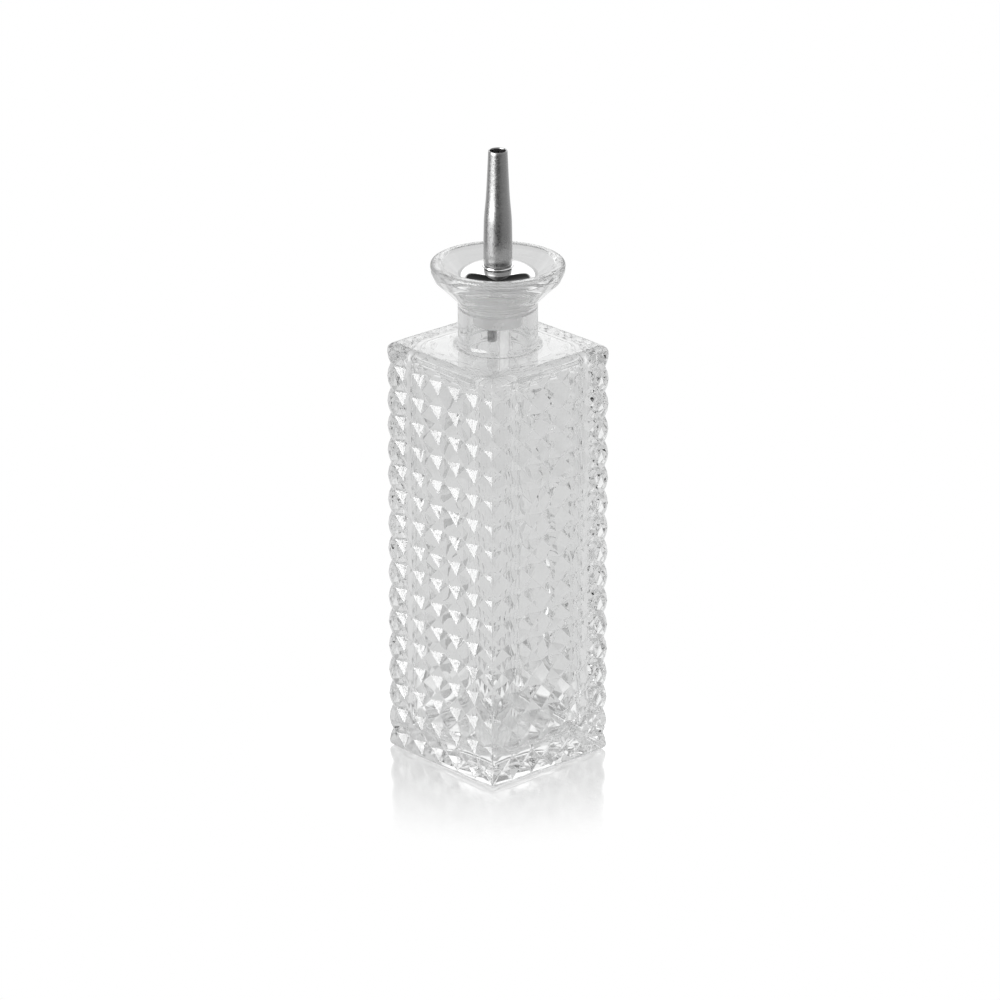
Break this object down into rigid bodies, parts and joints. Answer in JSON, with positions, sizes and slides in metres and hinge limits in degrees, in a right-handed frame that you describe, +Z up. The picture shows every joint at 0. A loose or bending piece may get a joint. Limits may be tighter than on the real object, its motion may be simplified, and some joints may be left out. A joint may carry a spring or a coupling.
{
  "type": "glass oil bottle",
  "caption": "Square glass table bottle for oil with a sunken diamond relief, a funnel lip, and a tapered metal pour spout on a ribbed stopper that lifts out.",
  "frame": {"origin": "centre of the base, on the surface that the bottle stands on", "axes": "+Z up along the bottle's axis; X and Y square to the body's flat faces"},
  "size_m": [0.042, 0.042, 0.1684],
  "materials": {
    "glass": "clear pressed glass, fire-polished",
    "plug_plastic": "translucent natural polyethylene",
    "tube_plastic": "clear flexible tube",
    "polished_steel": "mirror polish",
    "satin_steel": "satin, fine grain"
  },
  "bodies": {
    "bottle": {"glass_bottle": "glass"},
    "stopper": {"stopper_plug": "plug_plastic", "air_tube": "tube_plastic", "inlet_tube": "satin_steel"},
    "pourer": {"dome_cap": "polished_steel", "pour_spout": "satin_steel"}
  },
  "joints": [
    {"name": "stopper_pull", "type": "slide", "parent": "bottle", "child": "stopper", "axis": [0, 0, 1], "range_m": [0, 0.05]},
    {"name": "pourer_turn", "type": "hinge", "parent": "stopper", "child": "pourer", "pos_m": [0, 0, 0.13], "axis": [0, 0, 1], "continuous": true}
  ]
}
